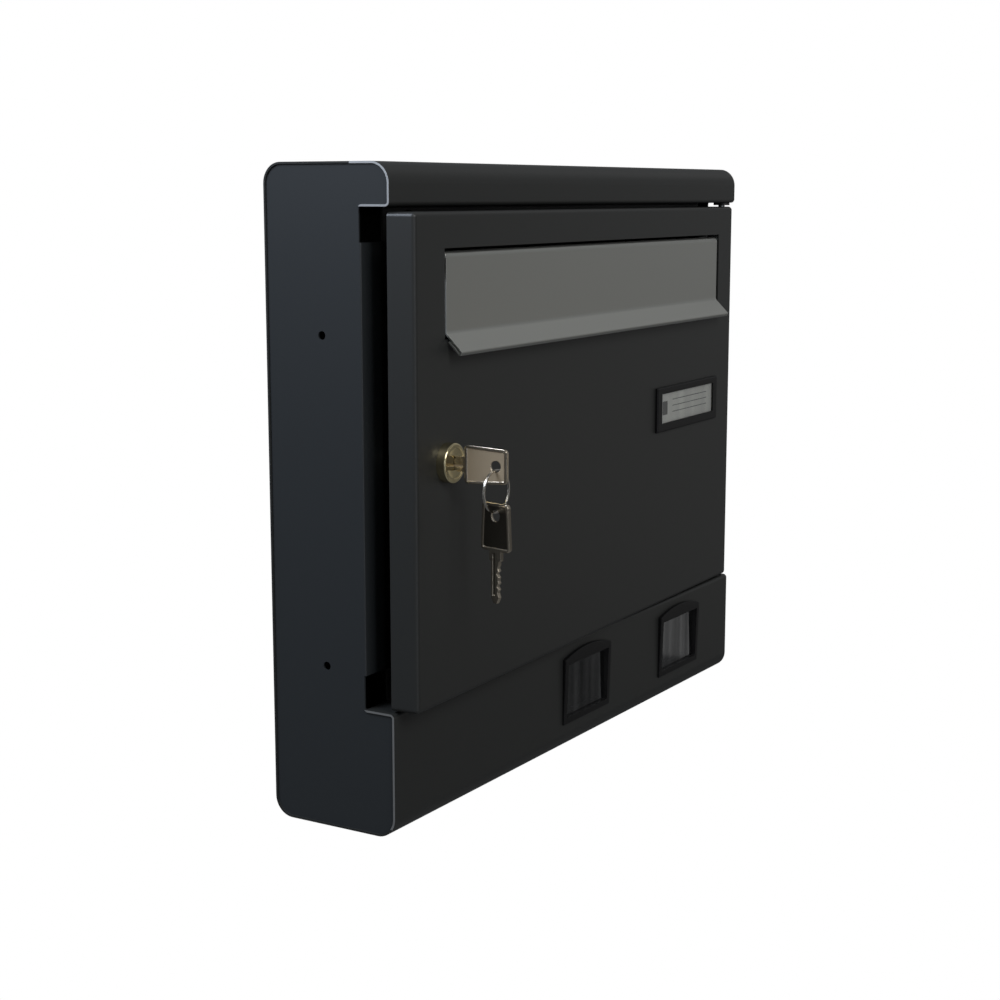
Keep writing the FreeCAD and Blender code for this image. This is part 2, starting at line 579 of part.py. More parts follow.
def make_letter_flap():
    """Flap sheet with its top edge rolled round the rod and a hemmed lip turned outwards."""
    body = new_body("letter_flap")
    left = "dims.flap_centre - dims.flap_width / 2"
    right = "dims.flap_centre + dims.flap_width / 2"
    face = plus(FLAP_AXIS_Y, "-dims.knuckle_radius")
    rear = plus(face, "dims.flap_gauge")
    bend = "dims.flap_bend_level"
    along_x = 0

    def below_bend(forward, drop):
        """Place in front of the flap face and below its bend."""
        return plus(face, minus(forward)), plus(bend, minus(drop))

    def near_tip(forward, down):
        """Place by the lip's tip, in sheet gauges forward and down from it."""
        return below_bend("dims.flap_lip_reach + %g * dims.flap_gauge" % forward,
                          "dims.flap_lip_reach + %g * dims.flap_gauge" % down)

    def hem_end(forward, down):
        """Place near_tip, carried back along the folded layer to its cut edge."""
        return below_bend(
            "dims.flap_lip_reach - dims.hem_return + %g * dims.flap_gauge" % forward,
            "dims.flap_lip_reach - dims.hem_return + %g * dims.flap_gauge" % down)

    front_tip = near_tip(0, 0)
    under_tip = near_tip(-1.25, 2.25)
    inner_bend = (rear, plus(bend, "-0.33 * dims.flap_gauge"))
    sheet_section = new_sketch(body, "FlapSection", "YZ_Plane")
    draw_outline(sheet_section, [
        (face, "dims.flap_axis_level"), (face, bend), front_tip, under_tip,
        hem_end(-1.25, 2.25), hem_end(-0.54, 1.54), near_tip(-1.54, 0.54),
        near_tip(-1.2, 0.2), inner_bend, (rear, "dims.flap_axis_level"),
    ])
    pad(body, sheet_section, left, right)
    round_edges(body, along_x, [(face, bend)], "3")
    round_edges(body, along_x, [inner_bend], "2")
    round_edges(body, along_x, [front_tip, under_tip], "0.8")
    knuckle = new_sketch(body, "Knuckle", "YZ_Plane")
    draw_circle(knuckle, FLAP_AXIS_Y, "dims.flap_axis_level", "dims.knuckle_radius")
    pad(body, knuckle, left, right)
    bore = new_sketch(body, "KnuckleBore", "YZ_Plane")
    draw_circle(bore, FLAP_AXIS_Y, "dims.flap_axis_level",
                "dims.flap_rod_radius + dims.running_gap")
    pocket(body, bore, plus(left, "-1"), plus(right, "1"))
    return body


# ---------------------------------------------------------------- name plate

PLATE_X = "dims.plate_across"
PLATE_Z = "dims.plate_level"
CARD_Z = "dims.plate_level + dims.card_lift"


def plate_rectangle(sketch, level, width, tall):
    """Rectangle centred across the name plate at a level."""
    draw_rectangle(sketch, plus(PLATE_X, minus(width + " / 2")), plus(PLATE_X, width + " / 2"),
                   plus(level, minus(tall + " / 2")), plus(level, tall + " / 2"))


def make_nameplate_frame():
    """Moulded frame with a pocket behind for card and cover, and two pins through the door."""
    body = new_body("nameplate_frame")
    outer = new_sketch(body, "PlateOutline", "XZ_Plane")
    plate_rectangle(outer, PLATE_Z, "dims.plate_width", "dims.plate_tall")
    pad(body, outer, "dims.casing_depth", "dims.casing_depth + dims.plate_proud")
    doc.recompute()
    block = body.Tip
    front_edges = [
        "Edge%d" % number for number, edge in enumerate(block.Shape.Edges, start=1)
        if all(abs(v.Point.y + val("dims.casing_depth + dims.plate_proud")) < 0.01
               for v in edge.Vertexes)]
    bevel = body.newObject("PartDesign::Chamfer", "PlateBevel")
    bevel.Base = (block, front_edges)
    bevel.Size = 0.6
    body.Tip = bevel
    opening = new_sketch(body, "PlateOpening", "XZ_Plane")
    plate_rectangle(opening, CARD_Z, "dims.card_width", "dims.card_tall")
    pocket(body, opening, "dims.casing_depth - 1", "dims.casing_depth + dims.plate_proud + 1")
    pocket_sketch = new_sketch(body, "CardPocket", "XZ_Plane")
    plate_rectangle(pocket_sketch, CARD_Z, "(dims.card_width + 3)", "(dims.card_tall + 3)")
    pocket(body, pocket_sketch, "dims.casing_depth - 1", "dims.casing_depth + dims.plate_pocket")
    pins = new_sketch(body, "PlatePins", "XZ_Plane")
    for across in ("dims.plate_across - dims.plate_pin_spacing / 2",
                   "dims.plate_across + dims.plate_pin_spacing / 2"):
        draw_circle(pins, across, PLATE_Z, "dims.plate_pin_radius")
    pad(body, pins, "dims.casing_depth - 4", "dims.casing_depth + 0.2")
    return body


def make_plate_insert(label, near, far):
    """Flat insert in the pocket of the name plate frame."""
    body = new_body(label)
    insert = new_sketch(body, "Insert", "XZ_Plane")
    plate_rectangle(insert, CARD_Z, "(dims.card_width + 3)", "(dims.card_tall + 3)")
    pad(body, insert, near, far)
    return body


# ---------------------------------------------------------------- lock

LOCK_X = "dims.lock_across"
LOCK_Z = "dims.lock_level"


def lock_disc(body, name, radius, near, far, cut=False):
    """Round step of a lock part, between two distances from the wall plane."""
    disc = new_sketch(body, name, "XZ_Plane")
    draw_circle(disc, LOCK_X, LOCK_Z, radius)
    step = pocket if cut else pad
    return step(body, disc, near, far)


def lock_slot(body, name, width, tall, near, far, cut=True):
    """Rectangular step of a lock part, centred on its axis."""
    slot = new_sketch(body, name, "XZ_Plane")
    draw_rectangle(slot, plus(LOCK_X, minus(width + " / 2")), plus(LOCK_X, width + " / 2"),
                   plus(LOCK_Z, minus(tall + " / 2")), plus(LOCK_Z, tall + " / 2"))
    step = pocket if cut else pad
    return step(body, slot, near, far)


def make_lock_body():
    """Collar in front of the door, barrel through it, stepped bore for the plug."""
    body = new_body("lock_body")
    front = "dims.casing_depth + dims.lock_proud"
    collar = lock_disc(body, "Collar", "dims.lock_flange_radius", "dims.casing_depth", front)
    doc.recompute()
    rim = [
        "Edge%d" % number for number, edge in enumerate(collar.Shape.Edges, start=1)
        if len(edge.Vertexes) == 1 and abs(edge.Vertexes[0].Point.y + val(front)) < 0.01]
    rounding = body.newObject("PartDesign::Fillet", "CollarRim")
    rounding.Base = (collar, rim)
    rounding.Radius = 0.9
    body.Tip = rounding
    lock_disc(body, "Barrel", "dims.lock_barrel_radius", "dims.lock_barrel_end",
              "dims.casing_depth")
    lock_disc(body, "PlugBore", "dims.plug_radius + dims.running_gap",
              "dims.lock_barrel_end - 1", front, cut=True)
    lock_disc(body, "HeadBore", "dims.plug_radius + 1.6 + dims.running_gap",
              "dims.casing_depth + dims.lock_proud - 1.4", front + " + 1", cut=True)
    return body


def make_lock_ring(label, outer_radius, near, far):
    """Plain ring on the barrel, such as the washer."""
    body = new_body(label)
    lock_disc(body, "Ring", outer_radius, near, far)
    lock_disc(body, "RingHole", "dims.lock_barrel_radius", near + " - 1", far + " + 1", cut=True)
    return body


def make_lock_nut():
    """Hexagon nut that clamps the barrel behind the door."""
    body = new_body("lock_nut")
    sides = new_sketch(body, "Hexagon", "XZ_Plane")
    corner_radius = "dims.lock_nut_across / 2 / cos(30)"
    draw_outline(sides, [
        (plus(LOCK_X, "%s * cos(%d)" % (corner_radius, angle)),
         plus(LOCK_Z, "%s * sin(%d)" % (corner_radius, angle)))
        for angle in range(0, 360, 60)])
    near = "dims.casing_depth - dims.gauge - 0.6 - 3"
    far = "dims.casing_depth - dims.gauge - 0.6"
    pad(body, sides, near, far)
    lock_disc(body, "NutHole", "dims.lock_barrel_radius", near + " - 1", far + " + 1", cut=True)
    return body


def make_lock_plug():
    """Turning plug: wide head, round shank, square tail for the cam, keyway, screw hole."""
    body = new_body("lock_plug")
    front = "dims.casing_depth + dims.lock_proud - 0.2"
    lock_disc(body, "PlugHead", "dims.plug_radius + 1.6",
              "dims.casing_depth + dims.lock_proud - 1.3", front)
    lock_disc(body, "PlugShank", "dims.plug_radius", "dims.lock_barrel_end", front)
    lock_slot(body, "PlugTail", "dims.cam_square", "dims.cam_square",
              "dims.cam_front - dims.cam_gauge", "dims.lock_barrel_end", cut=False)
    lock_slot(body, "Keyway", "dims.keyway_width", "dims.keyway_height",
              "dims.lock_barrel_end + 2.2", front + " + 1")
    lock_disc(body, "ScrewHole", "dims.cam_screw_radius", "dims.cam_front - dims.cam_gauge - 1",
              "dims.lock_barrel_end + 1.4", cut=True)
    return body


def make_lock_cam():
    """Flat cam with a square hole, pointing down when the lock is open."""
    body = new_body("lock_cam")
    near = "dims.cam_front - dims.cam_gauge"
    far = "dims.cam_front"
    half = "dims.cam_width / 2"
    tip = plus(LOCK_Z, "-dims.cam_reach")
    head = plus(LOCK_Z, "dims.cam_width / 2 + 1")
    plate = new_sketch(body, "CamPlate", "XZ_Plane")
    draw_rectangle(plate, plus(LOCK_X, minus(half)), plus(LOCK_X, half), tip, head)
    pad(body, plate, near, far)
    along_y = 1
    round_edges(body, along_y,
                [(plus(LOCK_X, minus(half)), head), (plus(LOCK_X, half), head)], half + " - 0.5")
    round_edges(body, along_y,
                [(plus(LOCK_X, minus(half)), tip), (plus(LOCK_X, half), tip)], "2")
    lock_slot(body, "SquareHole", "dims.cam_square", "dims.cam_square",
              near + " - 1", far + " + 1")
    return body


def make_cam_washer():
    """Washer between cam and screw head."""
    body = new_body("cam_washer")
    far = "dims.cam_front - dims.cam_gauge"
    near = far + " - 1"
    lock_disc(body, "Washer", "dims.cam_screw_radius + 3.4", near, far)
    lock_disc(body, "WasherHole", "dims.cam_screw_radius", near + " - 1", far + " + 1", cut=True)
    return body


def make_cam_screw():
    """Screw with a round slotted head."""
    body = new_body("cam_screw")
    seat = "dims.cam_front - dims.cam_gauge - 1"
    lock_disc(body, "ScrewHead", "dims.cam_screw_radius * 2", seat + " - 2.6", seat)
    lock_disc(body, "ScrewShank", "dims.cam_screw_radius", seat, "dims.lock_barrel_end + 1.4")
    lock_slot(body, "ScrewSlot", "dims.cam_screw_radius * 5", "1",
              seat + " - 3.6", seat + " - 1.4")
    return body


# ---------------------------------------------------------------- keys

BITTING = (0.7, 1.3, 0.5, 1.1, 0.8)


def make_key(label):
    """Flat key hanging blade down, with the middle of its ring hole at the body's origin."""
    body = new_body(label)
    end = "dims.key_hole_inset"
    root = "dims.key_hole_inset - dims.bow_length"
    tip = "dims.key_hole_inset - dims.bow_length - dims.blade_length"
    half_end = "dims.bow_end_width / 2"
    half_root = "dims.bow_root_width / 2"
    half_blade = "dims.blade_width / 2"
    half_shoulder = "dims.shoulder_width / 2"
    neck = root + " - dims.shoulder_length"
    half_gauge = "dims.key_gauge / 2"
    bow = new_sketch(body, "Bow", "XZ_Plane")
    draw_outline(bow, [(minus(half_end), end), (minus(half_root), root),
                       (half_root, root), (half_end, end)])
    pad(body, bow, minus(half_gauge), half_gauge)
    along_y = 1
    round_edges(body, along_y, [(minus(half_end), end), (half_end, end),
                                (minus(half_root), root), (half_root, root)], "2.2")

    cuts = []
    pitch = "(dims.blade_length - dims.shoulder_length - 6) / %d" % len(BITTING)
    for number, depth in enumerate(BITTING):
        start = "%s - 2 - %d * %s" % (neck, number, pitch)
        cuts.append((half_blade, start))
        cuts.append(("%s - %g" % (half_blade, depth), "%s - 0.38 * %s" % (start, pitch)))
        cuts.append(("%s - %g" % (half_blade, depth), "%s - 0.62 * %s" % (start, pitch)))
    blade = new_sketch(body, "Blade", "XZ_Plane")
    draw_outline(blade, [(minus(half_shoulder), plus(root, "1")), (half_shoulder, plus(root, "1")),
                         (half_shoulder, neck), (half_blade, plus(neck, "-0.6"))]
                 + cuts
                 + [(half_blade, plus(tip, "2.8")), ("1", tip), ("-1", tip),
                    (minus(half_blade), plus(tip, "2.4")), (minus(half_blade), plus(neck, "-0.6")),
                    (minus(half_shoulder), neck)])
    pad(body, blade, minus(half_gauge), half_gauge)

    for name, low, high in (("FrontHollow", "%s - dims.key_hollow" % half_gauge,
                             half_gauge + " + 1"),
                            ("RearHollow", minus(half_gauge + " + 1"),
                             "-%s + dims.key_hollow" % half_gauge)):
        hollow = new_sketch(body, name, "XZ_Plane")
        rim = "dims.key_rim"
        draw_outline(hollow, [
            (plus(minus(half_end), rim), plus(end, minus(rim))),
            (plus(minus(half_root), rim), plus(root, rim)),
            (plus(half_root, minus(rim)), plus(root, rim)),
            (plus(half_end, minus(rim)), plus(end, minus(rim)))])
        pocket(body, hollow, low, high)
        groove = new_sketch(body, name + "Groove", "XZ_Plane")
        draw_rectangle(groove, "-1.4", "-0.2", plus(tip, "4"), plus(root, "-1"))
        pocket(body, groove, low, high)
    hole = new_sketch(body, "RingHole", "XZ_Plane")
    draw_circle(hole, "0", "0", "dims.key_hole_radius")
    pocket(body, hole, "-dims.key_gauge", "dims.key_gauge")
    return body


def swing():
    """Placement that turns the shut door to its ajar rest position."""
    hinge = FreeCAD.Vector(val(HINGE_X), val(HINGE_Y), 0)
    turn = FreeCAD.Rotation(FreeCAD.Vector(0, 0, 1), val("dims.ajar_degrees"))
    return FreeCAD.Placement(FreeCAD.Vector(0, 0, 0), turn, hinge)


def upright(place, twist):
    """Placement of an upright piece at a place on the shut door, twisted about the vertical."""
    return FreeCAD.Placement(place, FreeCAD.Rotation(FreeCAD.Vector(0, 0, 1), twist))


def hang_keys():
    """Key in the lock, ring through its hole and spare key on the ring."""
    ring_radius = val("dims.ring_radius")
    sag = val("dims.ring_sag")
    bow_end = val("dims.casing_depth + dims.bow_standoff + dims.bow_length")
    hole = FreeCAD.Vector(val(LOCK_X), -bow_end + val("dims.key_hole_inset"), val(LOCK_Z))
    key = make_key("key_in_lock")
    blade_inwards = FreeCAD.Rotation(
        FreeCAD.Vector(0, 0, 1), FreeCAD.Vector(-1, 0, 0), FreeCAD.Vector(0, -1, 0))
    key.Placement = swing() * FreeCAD.Placement(hole, blade_inwards)

    ring = doc.addObject("Part::Torus", "key_ring")
    ring.Label = "key_ring"
    ring.setExpression("Radius1", "dims.ring_radius")
    ring.setExpression("Radius2", "dims.ring_wire")
    centre = hole - FreeCAD.Vector(0, 0, sag + ring_radius)
    on_edge = FreeCAD.Placement(FreeCAD.Vector(0, 0, 0),
                                FreeCAD.Rotation(FreeCAD.Vector(1, 0, 0), 90))
    ring.Placement = swing() * upright(centre, val("dims.ring_twist")) * on_edge

    spare = make_key("spare_key")
    spare_hole = centre - FreeCAD.Vector(0, 0, ring_radius + sag)
    spare.Placement = swing() * upright(spare_hole, val("dims.spare_twist"))
    return [key, ring, spare]


# ---------------------------------------------------------------- assembly

def make_casing():
    """Everything that stays on the wall."""
    nodes = [make_casing_wrap()]
    nodes.append(make_side_panel("left_side_panel", -1))
    nodes.append(make_side_panel("right_side_panel", 1))
    for word, centre in (("centre", "0"), ("right", "dims.window_far")):
        nodes.append(make_window_frame("window_frame_" + word, centre))
        nodes.append(make_window_pane("window_pane_" + word, centre))
    nodes.append(make_hinge_bush("upper_hinge_bush", HOOD_EDGE, 1, "1.5"))
    nodes.append(make_hinge_bush("lower_hinge_bush", LEDGE, -1, "0.6"))
    nodes.append(make_door_buffer("upper_door_buffer", plus(DOOR_TOP, "-1.5")))
    nodes.append(make_door_buffer(
        "lower_door_buffer", plus(LEDGE, "dims.crease_radius + dims.buffer_radius - 0.6")))
    return nodes


def make_door():
    """Everything that swings with the door, in its shut position."""
    nodes = [make_door_panel()]
    nodes.append(make_hinge_pin("upper_hinge_pin", plus(DOOR_TOP, minus(GAUGE), "-1.2"),
                                plus(DOOR_TOP, minus(GAUGE)), plus(DOOR_TOP, minus(GAUGE)),
                                plus(HOOD_SHELF, "2")))
    nodes.append(make_hinge_pin("lower_hinge_pin", plus(DOOR_BOTTOM, GAUGE),
                                plus(DOOR_BOTTOM, GAUGE, "1.2"), plus(LEDGE_UNDER, "-2"),
                                plus(DOOR_BOTTOM, GAUGE)))
    nodes.append(make_flap_bracket("flap_bracket_left", -1))
    nodes.append(make_flap_bracket("flap_bracket_right", 1))
    nodes.append(make_flap_rod())
    nodes.append(make_letter_flap())
    nodes.append(make_nameplate_frame())
    nodes.append(make_plate_insert("nameplate_card", "dims.casing_depth",
                                   "dims.casing_depth + dims.card_gauge"))
    nodes.append(make_plate_insert("nameplate_cover", "dims.casing_depth + dims.card_gauge",
                                   "dims.casing_depth + dims.plate_pocket"))
    nodes.append(make_lock_body())
    nodes.append(make_lock_ring("lock_washer", "dims.lock_flange_radius",
                                "dims.casing_depth - dims.gauge - 0.6",
                                "dims.casing_depth - dims.gauge"))
    nodes.append(make_lock_nut())
    nodes.append(make_lock_plug())
    nodes.append(make_lock_cam())
    nodes.append(make_cam_washer())
    nodes.append(make_cam_screw())
    return nodes


def check_document(nodes):
    """Stop if any object failed to build or any node is not a sound solid."""
    for item in doc.Objects:
        if "Invalid" in item.State or "Error" in item.State:
            raise RuntimeError("%s did not build" % item.Name)
    for node in nodes:
        if node.Shape.isNull() or not node.Shape.isValid() or not node.Shape.Solids:
            raise RuntimeError("%s is not a sound solid" % node.Label)


def main():
    """Build every sub-part, swing the door ajar, check and write the parts."""
    casing_nodes = make_casing()
    door_nodes = make_door()
    doc.recompute()
    for node in door_nodes:
        node.Placement = swing()
    nodes = casing_nodes + door_nodes + hang_keys()
    doc.recompute()
    check_document(nodes)
    os.makedirs("parts", exist_ok=True)
    for node in nodes:
        node.Shape.exportStep("parts/%s.step" % node.Label)


main()
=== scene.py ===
import json
import math

import bmesh
import bpy
import numpy as np
from mathutils import Matrix, Vector


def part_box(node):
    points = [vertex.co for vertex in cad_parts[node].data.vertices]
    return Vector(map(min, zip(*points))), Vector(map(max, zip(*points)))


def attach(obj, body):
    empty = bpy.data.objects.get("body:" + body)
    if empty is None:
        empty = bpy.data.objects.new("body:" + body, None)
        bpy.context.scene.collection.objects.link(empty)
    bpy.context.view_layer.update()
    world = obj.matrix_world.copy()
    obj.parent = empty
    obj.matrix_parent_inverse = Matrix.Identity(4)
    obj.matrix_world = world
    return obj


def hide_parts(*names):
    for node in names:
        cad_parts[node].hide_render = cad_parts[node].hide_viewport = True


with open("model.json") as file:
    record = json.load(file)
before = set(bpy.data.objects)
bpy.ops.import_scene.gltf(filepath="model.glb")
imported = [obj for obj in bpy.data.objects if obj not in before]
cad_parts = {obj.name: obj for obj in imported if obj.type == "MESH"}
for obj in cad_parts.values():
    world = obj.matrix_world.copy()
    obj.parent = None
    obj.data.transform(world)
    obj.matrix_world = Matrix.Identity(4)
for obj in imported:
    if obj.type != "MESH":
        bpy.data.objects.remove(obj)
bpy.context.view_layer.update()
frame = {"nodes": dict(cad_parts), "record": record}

# A wall mailbox of powder coated steel sheet, with a satin steel flap and nickel plated lock
# and keys. Lengths are in metres, written as millimetres times MM.
MM = 0.001
nodes = frame["nodes"]
scene = bpy.context.scene


# ---------------------------------------------------------------- material helpers

def linear(hex_colour, alpha=1.0):
    """sRGB hex colour as linear RGBA: each channel through the sRGB curve."""
    channels = [int(hex_colour[k:k + 2], 16) / 255 for k in (1, 3, 5)]
    return tuple(c / 12.92 if c <= 0.04045 else ((c + 0.055) / 1.055) ** 2.4
                 for c in channels) + (alpha,)


def add(tree, kind, settings=None, **inputs):
    """Add one node: settings are its properties, inputs are values or (node, output) links."""
    made = tree.nodes.new(kind)
    for name, value in (settings or {}).items():
        setattr(made, name, value)
    for name, value in inputs.items():
        key = int(name[1:]) if name[0] == "_" and name[1:].isdigit() else name.replace("_", " ")
        socket = made.inputs[key]
        if isinstance(value, tuple) and value and isinstance(value[0], bpy.types.Node):
            tree.links.new(value[0].outputs[value[1]], socket)
        else:
            socket.default_value = value
    return made


def new_material(name):
    """Empty node material with an output, and its tree."""
    material = bpy.data.materials.new(name)
    material.use_nodes = True
    tree = material.node_tree
    tree.nodes.clear()
    return material, tree


def finish_material(tree, shader, socket="BSDF"):
    """Join a shader to the material output."""
    add(tree, "ShaderNodeOutputMaterial", Surface=(shader, socket))


def noise(tree, coordinates, grain, detail=2.0, roughness=0.5):
    """Noise whose features are about `grain` metres across."""
    return add(tree, "ShaderNodeTexNoise", Vector=coordinates, Scale=1 / grain,
               Detail=detail, Roughness=roughness)


# ---------------------------------------------------------------- materials

def powder_coat(name, colour, bare_and_highlit_end=None):
    """Polyester powder coat on steel: satin, with a fine orange peel that softens highlights.

    The last argument, when given, is (half width, depth, level): at the ends of the wrap,
    beyond the half width, in front of the depth and above the level, bright bare steel is
    painted in place of the coat. It is partly the bare cut edge and partly a painted
    highlight: it is kept to the front and upper edges, where light catches them, and the
    lower and back edges stay coated.
    """
    material, tree = new_material(name)
    place = add(tree, "ShaderNodeTexCoord")
    coordinates = (place, "Object")
    peel = noise(tree, coordinates, 0.9 * MM, detail=3.0)
    bump = add(tree, "ShaderNodeBump", Strength=0.10, Distance=0.05 * MM, Height=(peel, "Fac"))
    coat = add(tree, "ShaderNodeBsdfPrincipled", Base_Color=linear(colour), Roughness=0.44,
               IOR=1.5, Normal=(bump, "Normal"))
    if bare_and_highlit_end is None:
        finish_material(tree, coat)
        return material
    # Bright bare steel: the bare cut edge, and a painted highlight where light catches the front
    # and upper edges.
    bare_steel_highlight = add(tree, "ShaderNodeBsdfPrincipled", Base_Color=linear("#d2d4d5"), Metallic=1.0,
               Roughness=0.42)
    split = add(tree, "ShaderNodeSeparateXYZ", Vector=coordinates)
    half_width, depth, level = bare_and_highlit_end
    distance = add(tree, "ShaderNodeMath", {"operation": "ABSOLUTE"}, _0=(split, "X"))
    at_end = add(tree, "ShaderNodeMath", {"operation": "GREATER_THAN"},
                 _0=(distance, "Value"), _1=half_width)
    in_front = add(tree, "ShaderNodeMath", {"operation": "LESS_THAN"}, _0=(split, "Y"), _1=depth)
    above = add(tree, "ShaderNodeMath", {"operation": "GREATER_THAN"}, _0=(split, "Z"), _1=level)
    # Mask of the painted highlight: the wrap's ends, in front of the depth and above the level.
    front_end = add(tree, "ShaderNodeMath", {"operation": "MULTIPLY"},
                    _0=(at_end, "Value"), _1=(in_front, "Value"))
    bare_edge_highlight_mask = add(tree, "ShaderNodeMath", {"operation": "MULTIPLY"},
                    _0=(front_end, "Value"), _1=(above, "Value"))
    both = add(tree, "ShaderNodeMixShader", _0=(bare_edge_highlight_mask, "Value"), _1=(coat, "BSDF"),
               _2=(bare_steel_highlight, "BSDF"))
    finish_material(tree, both, "Shader")
    return material


def satin_sheet(name, colour):
    """Stainless sheet ground along its length: fine scratches 0.4 mm apart stretch highlights."""
    material, tree = new_material(name)
    place = add(tree, "ShaderNodeTexCoord")
    drawn = add(tree, "ShaderNodeMapping", Vector=(place, "Object"), Scale=(0.01, 1.0, 1.0))
    grain = noise(tree, (drawn, "Vector"), 0.4 * MM, detail=3.0)
    bump = add(tree, "ShaderNodeBump", Strength=0.06, Distance=0.03 * MM, Height=(grain, "Fac"))
    steel = add(tree, "ShaderNodeBsdfPrincipled", Base_Color=linear(colour), Metallic=1.0,
                Roughness=0.4, Normal=(bump, "Normal"))
    finish_material(tree, steel)
    return material


def simple(name, colour, roughness, metallic=0.0, **inputs):
    """One even surface."""
    material, tree = new_material(name)
    shader = add(tree, "ShaderNodeBsdfPrincipled", Base_Color=linear(colour),
                 Roughness=roughness, Metallic=metallic, **inputs)
    finish_material(tree, shader)
    return material


def clear_sheet(name):
    """Thin clear acrylic: light goes straight through, and both faces mirror a little more
    the flatter they are seen. Faint upright draw lines 8 mm apart streak what it mirrors."""
    material, tree = new_material(name)
    place = add(tree, "ShaderNodeTexCoord")
    drawn = add(tree, "ShaderNodeMapping", Vector=(place, "Object"), Scale=(1.0, 1.0, 0.06))
    lines = noise(tree, (drawn, "Vector"), 8 * MM, detail=1.0)
    bump = add(tree, "ShaderNodeBump", Strength=0.3, Distance=0.3 * MM, Height=(lines, "Fac"))
    edge_on = add(tree, "ShaderNodeFresnel", IOR=1.49)
    streaked = add(tree, "ShaderNodeMath", {"operation": "MULTIPLY"},
                   _0=(edge_on, "Fac"), _1=(lines, "Fac"))
    mirrored = add(tree, "ShaderNodeMath", {"operation": "MULTIPLY", "use_clamp": True},
                   _0=(streaked, "Value"), _1=4.2)
    through = add(tree, "ShaderNodeBsdfTransparent", Color=linear("#f6f7f6"))
    gloss = add(tree, "ShaderNodeBsdfGlossy", Color=(1, 1, 1, 1), Roughness=0.05,
                Normal=(bump, "Normal"))
    both = add(tree, "ShaderNodeMixShader", _0=(mirrored, "Value"), _1=(through, "BSDF"),
               _2=(gloss, "BSDF"))
    finish_material(tree, both, "Shader")
    return material


def printed_card(name):
    """Off-white card with a printed blank form: a square at the left and thin ruled lines."""
    material, tree = new_material(name)
    place = add(tree, "ShaderNodeTexCoord")
    low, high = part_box("nameplate_card")
    split = add(tree, "ShaderNodeSeparateXYZ", Vector=(place, "Object"))

    def within(axis, near, far):
        """1 between two places along an axis, else 0."""
        middle, half = (near + far) / 2, (far - near) / 2
        return add(tree, "ShaderNodeMath", {"operation": "COMPARE"},
                   _0=(split, axis), _1=middle, _2=half)

    def both(first, second, operation="MULTIPLY"):
        """Two masks together, or either of them with MAXIMUM."""
        return add(tree, "ShaderNodeMath", {"operation": operation},
                   _0=(first, "Value"), _1=(second, "Value"))

    # A square at the left and three ruled lines 0.44 mm thick.
    ink = both(within("X", low.x + 5 * MM, low.x + 12 * MM),
               within("Z", low.z + 6 * MM, low.z + 14 * MM))
    for share in (0.34, 0.52, 0.70):
        level = low.z + share * (high.z - low.z)
        rule = both(within("X", low.x + 19 * MM, high.x - 9 * MM),
                    within("Z", level - 0.22 * MM, level + 0.22 * MM))
        ink = both(ink, rule, "MAXIMUM")
    colour = add(tree, "ShaderNodeMix", {"data_type": "RGBA"}, _0=(ink, "Value"),
                 _6=linear("#f8f7f2"), _7=linear("#6c6c6a"))
    paper = add(tree, "ShaderNodeBsdfPrincipled", Base_Color=(colour, 2), Roughness=0.7)
    finish_material(tree, paper)
    return material


# Half width, depth and level that bound the bright cut ends of the wrap: bare steel with a
# painted highlight, kept to the front and upper edges where light catches them.
WRAP_END_HIGHLIGHT = (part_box("casing_wrap")[1].x - 0.1 * MM, -50 * MM, -156 * MM)
FINISH = {
    # Powder coat: near black, satin. The ends' copy is a touch bluer: painted bluish light from
    # the left on the same coat as the front.
    "coat": powder_coat("powder_coated_steel", "#262726"),
    # Bluer copy of the coat for the end panels: painted bluish light, not a second paint.
    "side_coat": powder_coat("powder_coat_end_painted_blue_light", "#272a2c"),
    # Ground stainless flap: pale grey with highlights stretched along it.
    "satin_steel": satin_sheet("satin_stainless", "#c6c7c2"),
    # Zinc plating on the hidden hardware: a soft blue-grey sheen.
    "zinc_steel": simple("zinc_plated_steel", "#b4b7b8", 0.38, 1.0),
    # Nickel plated spring wire, die cast lock and keys: sharp highlights, the lock yellowish.
    "bright_steel": simple("nickel_plated_wire", "#dcd8d0", 0.16, 1.0),
    "lock_nickel": simple("nickel_plated_lock", "#efe2b8", 0.12, 1.0),
    "key_nickel": simple("nickel_plated_key", "#cfc4b2", 0.22, 1.0),
    # Moulded ABS: darker and duller than the coat around it.
    "black_plastic": simple("black_abs", "#0d0d0e", 0.45, Specular_IOR_Level=0.3),
    # Clear acrylic: dark behind, with upright grey streaks.
    "clear_plastic": clear_sheet("clear_acrylic"),
    # Acetal bushes and rubber buffers: plain black, dull.
    "bush_plastic": simple("black_acetal", "#1b1b1b", 0.5),
    "rubber": simple("black_rubber", "#1a1a1a", 0.8),
    "card": printed_card("printed_card"),
}
# The wrap's coat, with a painted highlight of bare steel on its front and upper cut ends.
WRAP_COAT = powder_coat("powder_coated_wrap", "#262726", WRAP_END_HIGHLIGHT)
# The sunk bow faces: rubbed pale on the key in use, still dark on the spare.
KEY_RECESS = {
    "key_in_lock": simple("worn_blasted_nickel", "#a6967e", 0.5, 0.3),
    "spare_key": simple("blasted_nickel", "#5a554c", 0.34, 1.0),
}

# ---------------------------------------------------------------- softened edges

